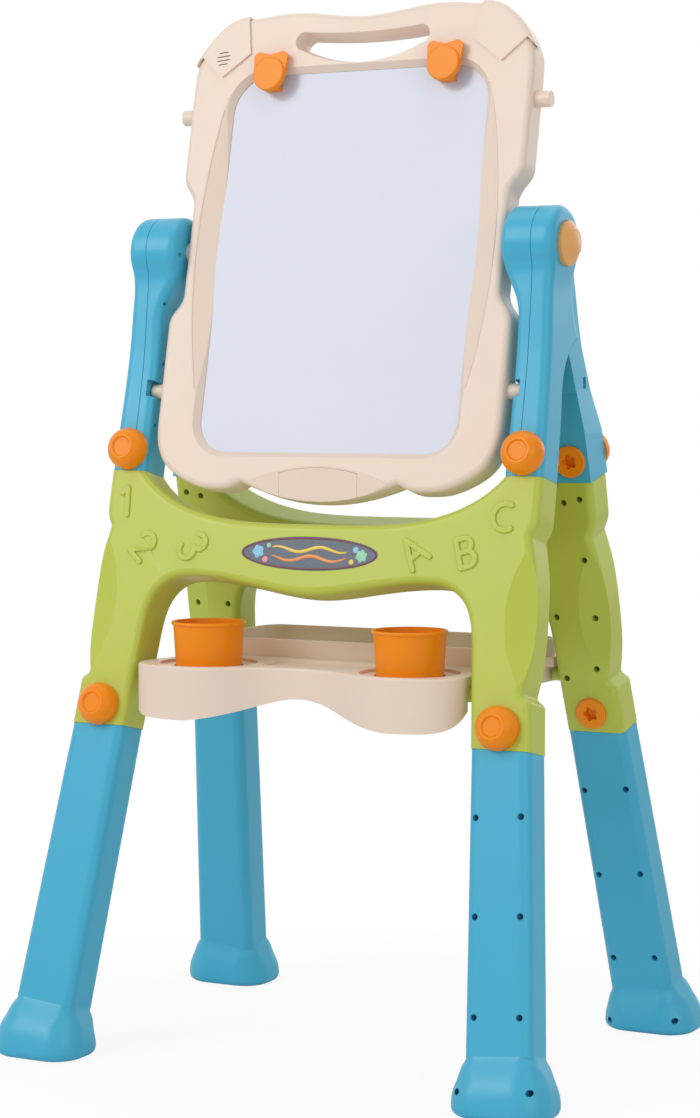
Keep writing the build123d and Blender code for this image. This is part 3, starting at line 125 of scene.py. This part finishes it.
def pillow(name, outline, low, high, to_world, soft=0.35):
    """Raised flat shape: an outline lifted from low to high, with its top edge rounded over.

    With t from 0 to a quarter turn, a ring lies at share 1 - soft*(1 - cos t)**2 of the outline
    and at height low + (high - low)*sin t. Two inner rings close the top."""
    outline = np.asarray(outline, float)
    middle = outline.mean(0)
    turn = np.linspace(0, math.pi / 2, 6)
    share = np.concatenate([[1.0], 1 - soft * (1 - np.cos(turn)) ** 2, [0.5, 0.02]])
    height = np.concatenate([[low], low + (high - low) * np.sin(turn), [high, high]])
    flat = middle + (outline - middle) * share[:, None, None]
    rise = np.broadcast_to(height[:, None, None], flat.shape[:2] + (1,))
    return closed_skin(name, to_world(np.concatenate([flat, rise], -1)))


def band(name, centre_line, width, low, high, to_world):
    """Ribbon with a rounded back: half an ellipse of that width and height, swept along a flat line."""
    line = np.asarray(centre_line, float)
    along = np.gradient(line, axis=0)
    along /= np.linalg.norm(along, axis=1, keepdims=True)
    side = np.stack([-along[:, 1], along[:, 0]], -1)
    turn = np.linspace(0, math.pi, 9)
    half = (np.asarray(width) * np.ones(len(line)) / 2)[:, None, None]
    flat = line[:, None] + side[:, None] * half * np.cos(turn)[None, :, None]
    rise = np.broadcast_to(low + (high - low) * np.sin(turn)[None, :, None], flat.shape[:2] + (1,))
    return closed_skin(name, to_world(np.concatenate([flat, rise], -1)))


def tapered(share, power, least=0.05):
    """Width along a stroke with rounded ends: the root of 1 - share**power, or of least where that is more.

    The share runs from -1 at one end of the stroke to 1 at the other."""
    return np.sqrt(np.clip(1 - share ** power, least, 1))


# Materials

PLAIN_GLOSS, PLAIN_SPECULAR = 0.36, 0.45
GRAIN_SCALE, GRAIN_DETAIL, GRAIN_DEPTH, GRAIN_STRENGTH = 700.0, 2.0, 0.00006, 0.35
FLOW_SCALE, FLOW_DETAIL, FLOW_SHADE = 5.5, 3.0, (0.965, 1.03)
SMEAR_SCALE, SMEAR_DETAIL, SMEAR_GLOSS = 34.0, 4.0, (-0.05, 0.07)
PRINT_GLOSS = 0.28


def linear(red, green, blue):
    """Linear colour of an sRGB colour given as 0 to 255."""
    share = np.array([red, green, blue]) / 255
    value = np.where(share <= 0.04045, share / 12.92, ((share + 0.055) / 1.055) ** 2.4)
    return (*value.tolist(), 1.0)


def add_node(nodes, kind, values=None, operation=None):
    """New shader node of that kind, with its operation and the values of its named inputs."""
    item = nodes.new(kind)
    if operation:
        item.operation = operation
    for name, value in (values or {}).items():
        item.inputs[name].default_value = value
    return item


def moulded_group():
    """Node group of an injection-moulded skin: faint flow in the colour, fine spark grain, uneven gloss."""
    group = bpy.data.node_groups.new("moulded_skin", "ShaderNodeTree")
    group.interface.new_socket("Colour", in_out="INPUT", socket_type="NodeSocketColor")
    for name, value in (("Gloss", PLAIN_GLOSS), ("Grain", GRAIN_SCALE)):
        socket = group.interface.new_socket(name, in_out="INPUT", socket_type="NodeSocketFloat")
        socket.default_value = value
    group.interface.new_socket("Colour", in_out="OUTPUT", socket_type="NodeSocketColor")
    for name in ("Roughness", "Height"):
        group.interface.new_socket(name, in_out="OUTPUT", socket_type="NodeSocketFloat")
    nodes, links = group.nodes, group.links
    take, give = nodes.new("NodeGroupInput"), nodes.new("NodeGroupOutput")
    where = nodes.new("ShaderNodeTexCoord")
    flow = add_node(nodes, "ShaderNodeTexNoise", {"Scale": FLOW_SCALE, "Detail": FLOW_DETAIL})
    shade = add_node(nodes, "ShaderNodeMapRange", {"To Min": FLOW_SHADE[0], "To Max": FLOW_SHADE[1]})
    tint = add_node(nodes, "ShaderNodeVectorMath", operation="SCALE")
    smear = add_node(nodes, "ShaderNodeTexNoise", {"Scale": SMEAR_SCALE, "Detail": SMEAR_DETAIL})
    uneven = add_node(nodes, "ShaderNodeMapRange", {"To Min": SMEAR_GLOSS[0], "To Max": SMEAR_GLOSS[1]})
    add = add_node(nodes, "ShaderNodeMath", operation="ADD")
    spark = add_node(nodes, "ShaderNodeTexNoise", {"Detail": GRAIN_DETAIL})
    for noise in (flow, smear, spark):
        links.new(where.outputs["Object"], noise.inputs["Vector"])
    links.new(take.outputs["Grain"], spark.inputs["Scale"])
    links.new(flow.outputs["Fac"], shade.inputs["Value"])
    links.new(take.outputs["Colour"], tint.inputs[0])
    links.new(shade.outputs["Result"], tint.inputs["Scale"])
    links.new(smear.outputs["Fac"], uneven.inputs["Value"])
    links.new(uneven.outputs["Result"], add.inputs[0])
    links.new(take.outputs["Gloss"], add.inputs[1])
    links.new(tint.outputs["Vector"], give.inputs["Colour"])
    links.new(add.outputs["Value"], give.inputs["Roughness"])
    links.new(spark.outputs["Fac"], give.inputs["Height"])
    return group


MOULDED = moulded_group()


def plastic(name, colour, gloss=PLAIN_GLOSS, grain=GRAIN_SCALE, depth=GRAIN_DEPTH, specular=PLAIN_SPECULAR):
    """Moulded plastic of one colour."""
    material = bpy.data.materials.new(name)
    material.use_nodes = True
    nodes, links = material.node_tree.nodes, material.node_tree.links
    shader = nodes["Principled BSDF"]
    shader.inputs["Specular IOR Level"].default_value = specular
    skin = nodes.new("ShaderNodeGroup")
    skin.node_tree = MOULDED
    skin.inputs["Colour"].default_value = colour
    skin.inputs["Gloss"].default_value = gloss
    skin.inputs["Grain"].default_value = grain
    bump = add_node(nodes, "ShaderNodeBump", {"Strength": GRAIN_STRENGTH, "Distance": depth})
    links.new(skin.outputs["Colour"], shader.inputs["Base Color"])
    links.new(skin.outputs["Roughness"], shader.inputs["Roughness"])
    links.new(skin.outputs["Height"], bump.inputs["Height"])
    links.new(bump.outputs["Normal"], shader.inputs["Normal"])
    return material


def metal(name, colour):
    """Bright turned steel with fine uneven gloss."""
    material = plastic(name, colour, gloss=0.3, grain=1500.0, depth=0.00003)
    material.node_tree.nodes["Principled BSDF"].inputs["Metallic"].default_value = 1.0
    return material


FINISHES = {
    "cream_plastic": plastic("cream_moulding", linear(238, 218, 201), gloss=0.38),
    "blue_plastic": plastic("blue_moulding", linear(66, 178, 213), gloss=0.34),
    "green_plastic": plastic("green_moulding", linear(190, 201, 76), gloss=0.34),
    "orange_plastic": plastic("orange_moulding", linear(250, 144, 2), gloss=0.32, specular=0.3),
    "tan_plastic": plastic("tan_moulding", linear(238, 176, 107), gloss=0.34, specular=0.35),
    "white_panel": plastic("white_writing_skin", linear(207, 211, 226),
                           gloss=0.16, grain=250.0, depth=0.00002),
    "chalk_panel": plastic("chalk_skin", linear(42, 48, 46), gloss=0.72, grain=1600.0, depth=0.00012),
    "badge": plastic("slate_plate", linear(78, 88, 104), gloss=0.26),
    "steel": metal("bright_steel", linear(176, 178, 182)),
}
SLOT_OF = {row["node"]: row["material_slot"] for row in frame["record"]["subparts"]}
for node, item in frame["nodes"].items():
    item.data.materials.clear()
    item.data.materials.append(FINISHES[SLOT_OF[node]])

PRINT_COLOURS = {
    "maroon": (112, 40, 52),
    "yellow": (244, 206, 70),
    "sky": (134, 196, 226),
    "amber": (240, 150, 62),
    "rose": (232, 146, 152),
    "mint": (150, 212, 176),
}
PRINTS = {name: plastic(f"{name}_print", linear(*colour), gloss=PRINT_GLOSS)
          for name, colour in PRINT_COLOURS.items()}
SHADOW = plastic("slot_shadow", linear(52, 44, 40), gloss=0.6)


def dress(piece, material, body):
    """Gives a new piece its material and the body it moves with."""
    piece.data.materials.append(material)
    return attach(piece, body)


# Printed badge: an oval rim, two painted waves and blots of paint, in millimetres

BADGE_UP = -331.0
BADGE_HALF_WIDTH, BADGE_HALF_HEIGHT = 79.0, 17.2
PRINT_LOW, PRINT_HIGH = FACE - 0.35, FACE + 0.1
RIM_INSET, RIM_WIDTH = 1.1, 1.8
WAVE_REACH, WAVE_TIP, WAVE_WIDTH = 44, 46, 3.6
WAVE_SWING, WAVE_PITCH = 2.6, 8.0
ROUND = np.linspace(0, 2 * math.pi, 120, endpoint=False)

# Name, shift along, lift above the badge's middle, colour
WAVES = (
    ("wave_upper", 0.0, 4.4, "yellow"),
    ("wave_lower", 1.3, -5.0, "amber"),
)
# Place across and up, radius, lobes, depth of the lobes, colour
BLOTS = (
    (-60, 1, 6.4, 5, 0.12, "sky"),
    (-51, -7.2, 3.4, 0, 0, "rose"),
    (54, 5.4, 3.4, 0, 0, "sky"),
    (61, -1, 6.2, 6, 0.12, "mint"),
    (50, -7.4, 2.8, 0, 0, "yellow"),
    (-48, 7.8, 2.6, 0, 0, "mint"),
)


def blot_outline(x, y, radius, lobes, depth):
    """Circle, or a round-lobed blot: radius times 1 + depth*cos(lobes*t + x)."""
    turn = ROUND[::3]
    reach = radius * (1 + depth * np.cos(lobes * turn + x))
    return np.stack([x + reach * np.cos(turn), BADGE_UP + y + reach * np.sin(turn)], -1)


def badge_print():
    """Print on the badge plate: a band round an ellipse, a band along each sine wave, a pillow per blot."""
    rim = np.stack([(BADGE_HALF_WIDTH - RIM_INSET) * np.cos(ROUND),
                    BADGE_UP + (BADGE_HALF_HEIGHT - RIM_INSET) * np.sin(ROUND)], -1)
    loop = np.concatenate([rim, rim[:1]])
    oval = band("badge_rim", loop, RIM_WIDTH, PRINT_LOW, PRINT_HIGH, on_crossbar)
    dress(oval, PRINTS["maroon"], "front_frame")
    x = np.linspace(-WAVE_REACH, WAVE_REACH, 90)
    width = WAVE_WIDTH * tapered(x / WAVE_TIP, 2, least=0.02)
    for name, shift, lift, colour in WAVES:
        line = np.stack([x, BADGE_UP + lift + WAVE_SWING * np.sin(x / WAVE_PITCH + shift)], -1)
        wave = band(f"badge_{name}", line, width, PRINT_LOW, PRINT_HIGH, on_crossbar)
        dress(wave, PRINTS[colour], "front_frame")
    for number, (*shape, colour) in enumerate(BLOTS, 1):
        blot = pillow(f"badge_blot_{number}", blot_outline(*shape), PRINT_LOW, PRINT_HIGH, on_crossbar)
        dress(blot, PRINTS[colour], "front_frame")


badge_print()


# Small relief, in millimetres: the round grille of the left corner cap, the ridge along each margin of the
# board, the arc on each button and the coil behind it

CAP_TOP = BOARD_FACE + 2.6
GRILLE_X, GRILLE_UP, GRILLE_R = -166.0, 213.0, 9.5
GRILLE_STEP, GRILLE_SLOPE = 4.4, 0.1
SLOT_WIDTH, SLOT_STOP = 1.7, 0.8
SLOT_LOW, SLOT_HIGH = CAP_TOP - 0.3, CAP_TOP + 0.12
CREASE_R, CREASE_MIDDLE = 715.0, -538.5
CREASE_END, CREASE_WIDTH = 154.0, 2.6
CREASE_LOW, CREASE_HIGH = BOARD_FACE - 0.5, BOARD_FACE + 0.7
BUTTON_R, BUTTON_EDGE, BUTTON_CROWN = 23.0, HEAD_OUT + 4, HEAD_OUT + 13
ARC_R, ARC_WIDTH, ARC_FROM, ARC_TO = 14, 2.4, -35, 145
ARC_LOW, ARC_HIGH = -0.4, 0.7
COIL_R, COIL_WIRE, COIL_TURNS = 14.4, 0.9, 5
COIL_LOW, COIL_HIGH = 229.0, 246.0


def cap_grille():
    """Four slots that fill a circle: each is as long as the chord at its height."""
    for number, step in enumerate((-1.5, -0.5, 0.5, 1.5), 1):
        rise = step * GRILLE_STEP
        half = math.sqrt(GRILLE_R ** 2 - rise ** 2) - SLOT_STOP
        x = np.linspace(-half, half, 24)
        line = np.stack([GRILLE_X + x, GRILLE_UP + rise + GRILLE_SLOPE * x], -1)
        width = SLOT_WIDTH * tapered(x / half, 6)
        slot = band(f"cap_slot_{number}", line, width, SLOT_LOW, SLOT_HIGH, on_board)
        dress(slot, SHADOW, "board")


def margin_crease():
    """Soft ridge along each side margin of the board, one the mirror image of the other.

    It follows an arc of a wide circle whose middle lies at x = CREASE_MIDDLE, level with the axis."""
    y = np.linspace(-CREASE_END, CREASE_END, 90)
    x = CREASE_MIDDLE + np.sqrt(CREASE_R ** 2 - y ** 2)
    width = CREASE_WIDTH * tapered(y / CREASE_END, 6)
    for name, side in (("right", 1), ("left", -1)):
        line = np.stack([side * x, y], -1)
        ridge = band(f"{name}_margin_crease", line, width, CREASE_LOW, CREASE_HIGH, on_board)
        dress(ridge, FINISHES["cream_plastic"], "board")


def on_button(side):
    """Carries (y, z, rise) in mm from the button's axis to the button's ball-shaped face, in metres."""
    ball = (BUTTON_R ** 2 + (BUTTON_CROWN - BUTTON_EDGE) ** 2) / (2 * (BUTTON_CROWN - BUTTON_EDGE))

    def carry(points):
        y, z, rise = points[..., 0], points[..., 1], points[..., 2]
        x = BUTTON_CROWN - ball + np.sqrt(ball ** 2 - y ** 2 - z ** 2) + rise
        return np.stack([side * x, AXIS_Y + y, AXIS_Z + z], -1) * MM
    return carry


def button_ridge(name, side):
    """Raised arc on the face of a button: half a circle of radius ARC_R, carried to the ball."""
    swing = np.radians(np.linspace(ARC_FROM, ARC_TO, 60))
    line = np.stack([ARC_R * np.cos(swing), ARC_R * np.sin(swing)], -1)
    width = ARC_WIDTH * tapered(np.linspace(-1, 1, 60), 8)
    ridge = band(f"{name}_ridge", line, width, ARC_LOW, ARC_HIGH, on_button(side))
    dress(ridge, FINISHES["tan_plastic"], name)


def button_coil(name, side):
    """Coil spring: a circle of wire swept along a helix about the head axis."""
    along = np.linspace(0, 1, COIL_TURNS * 40)
    turns = 2 * math.pi * COIL_TURNS * along
    x = COIL_LOW + COIL_WIRE + (COIL_HIGH - COIL_LOW - 2 * COIL_WIRE) * along
    ring = np.linspace(0, 2 * math.pi, 10, endpoint=False)
    reach = COIL_R + COIL_WIRE * np.cos(ring)[None]
    points = np.stack([side * (x[:, None] + COIL_WIRE * np.sin(ring)[None]),
                       AXIS_Y + reach * np.cos(turns)[:, None],
                       AXIS_Z + reach * np.sin(turns)[:, None]], -1)
    coil = closed_skin(f"{name}_coil", points * MM)
    dress(coil, FINISHES["steel"], "front_frame")
    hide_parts(f"{name}_spring")


cap_grille()
margin_crease()
for button_name, button_side in (("right_button", 1), ("left_button", -1)):
    button_ridge(button_name, button_side)
    button_coil(button_name, button_side)


# Light, floor and camera, in metres

# Name, place, point aimed at, width, height, power in watts
SOFT_BOXES = (
    ("key", (-1.7, -2.8, 2.5), (0, 0, 0.6), 2.0, 2.0, 50),
    ("fill", (2.8, -1.9, 1.5), (0, 0, 0.5), 1.8, 2.2, 15),
    ("top", (0.2, 0.4, 3.2), (0, 0, 0.4), 2.6, 2.6, 20),
    ("back", (0.6, 2.8, 1.8), (0, 0, 0.6), 2.4, 2.0, 12),
)
SKY_LIGHT, BACKDROP_WHITE = 0.42, 1.0
FLOOR_REACH, FLOOR_GREY = 12, 0.94
FADE_NEAR, FADE_FAR, FADE_LEAST = 0.25, 0.75, 0.88


def lamp(name, spot, aim, width, height, power):
    """Soft box of light at a place, turned to a point."""
    data = bpy.data.lights.new(name, "AREA")
    data.shape = "RECTANGLE"
    data.size, data.size_y, data.energy = width, height, power
    item = bpy.data.objects.new(name, data)
    scene.collection.objects.link(item)
    item.location = spot
    east, north, rise = np.array(aim, float) - np.array(spot, float)
    pitch = math.atan2(math.hypot(east, north), -rise)
    item.rotation_euler = (pitch, 0, math.atan2(north, east) - math.pi / 2)


def set_world():
    """Even studio light on the object, and a white backdrop for camera, glossy and transmission rays."""
    world = bpy.data.worlds.new("studio")
    scene.world = world
    world.use_nodes = True
    nodes, links = world.node_tree.nodes, world.node_tree.links
    sky = nodes["Background"]
    sky.inputs["Color"].default_value = (1, 1, 1, 1)
    ray = nodes.new("ShaderNodeLightPath")
    seen = add_node(nodes, "ShaderNodeMath", operation="MAXIMUM")
    mirrored = add_node(nodes, "ShaderNodeMath", operation="MAXIMUM")
    level = add_node(nodes, "ShaderNodeMapRange", {"To Min": SKY_LIGHT, "To Max": BACKDROP_WHITE})
    links.new(ray.outputs["Is Camera Ray"], seen.inputs[0])
    links.new(ray.outputs["Is Transmission Ray"], seen.inputs[1])
    links.new(seen.outputs["Value"], mirrored.inputs[0])
    links.new(ray.outputs["Is Glossy Ray"], mirrored.inputs[1])
    links.new(mirrored.outputs["Value"], level.inputs["Value"])
    links.new(level.outputs["Result"], sky.inputs["Strength"])


def floor_material():
    """Pale studio floor: keeps the shadow near the feet and fades to the white backdrop away from them."""
    material = bpy.data.materials.new("pale_floor")
    material.use_nodes = True
    nodes, links = material.node_tree.nodes, material.node_tree.links
    nodes.clear()
    out = nodes.new("ShaderNodeOutputMaterial")
    paint = add_node(nodes, "ShaderNodeBsdfDiffuse", {"Color": (FLOOR_GREY, FLOOR_GREY, FLOOR_GREY, 1)})
    glow = nodes.new("ShaderNodeEmission")
    mix = nodes.new("ShaderNodeMixShader")
    where = nodes.new("ShaderNodeTexCoord")
    far = add_node(nodes, "ShaderNodeVectorMath", operation="LENGTH")
    fade = add_node(nodes, "ShaderNodeMapRange",
                    {"From Min": FADE_NEAR, "From Max": FADE_FAR, "To Min": FADE_LEAST})
    fade.interpolation_type = "SMOOTHSTEP"
    path = nodes.new("ShaderNodeLightPath")
    both = add_node(nodes, "ShaderNodeMath", operation="MULTIPLY")
    links.new(where.outputs["Object"], far.inputs[0])
    links.new(far.outputs["Value"], fade.inputs["Value"])
    links.new(fade.outputs["Result"], both.inputs[0])
    links.new(path.outputs["Is Camera Ray"], both.inputs[1])
    links.new(both.outputs["Value"], mix.inputs["Fac"])
    links.new(paint.outputs["BSDF"], mix.inputs[1])
    links.new(glow.outputs["Emission"], mix.inputs[2])
    links.new(mix.outputs["Shader"], out.inputs["Surface"])
    return material


def set_camera():
    """Camera at the photograph's viewpoint, held upright and turned to the middle of the easel."""
    sa, ca = math.sin(VIEW_AZIMUTH), math.cos(VIEW_AZIMUTH)
    se, ce = math.sin(VIEW_ELEVATION), math.cos(VIEW_ELEVATION)
    back = np.array([sa * ce, -ca * ce, se])
    right = np.array([ca, sa, 0])
    up = np.cross(back, right)
    spot = np.array([VIEW_ASIDE * ca, VIEW_ASIDE * sa, VIEW_HEIGHT]) + back * VIEW_DISTANCE
    data = bpy.data.cameras.new("camera")
    data.sensor_fit = "VERTICAL"
    data.sensor_height = SENSOR
    data.lens = FOCAL_PIXELS * SENSOR / IMAGE_HEIGHT
    item = bpy.data.objects.new("camera", data)
    scene.collection.objects.link(item)
    matrix = np.eye(4)
    matrix[:3, 0], matrix[:3, 1], matrix[:3, 2], matrix[:3, 3] = right, up, back, spot
    item.matrix_world = Matrix(matrix.tolist())
    scene.camera = item


for soft_box in SOFT_BOXES:
    lamp(*soft_box)
set_world()

edge = np.linspace(-FLOOR_REACH, FLOOR_REACH, 3)
floor_grid = np.stack(np.meshgrid(edge, edge, [0.0], indexing="ij"), -1)[:, :, 0]
floor = grid_mesh("floor", floor_grid[:, ::-1])
floor.data.materials.append(floor_material())

set_camera()
scene.view_settings.view_transform = "Standard"
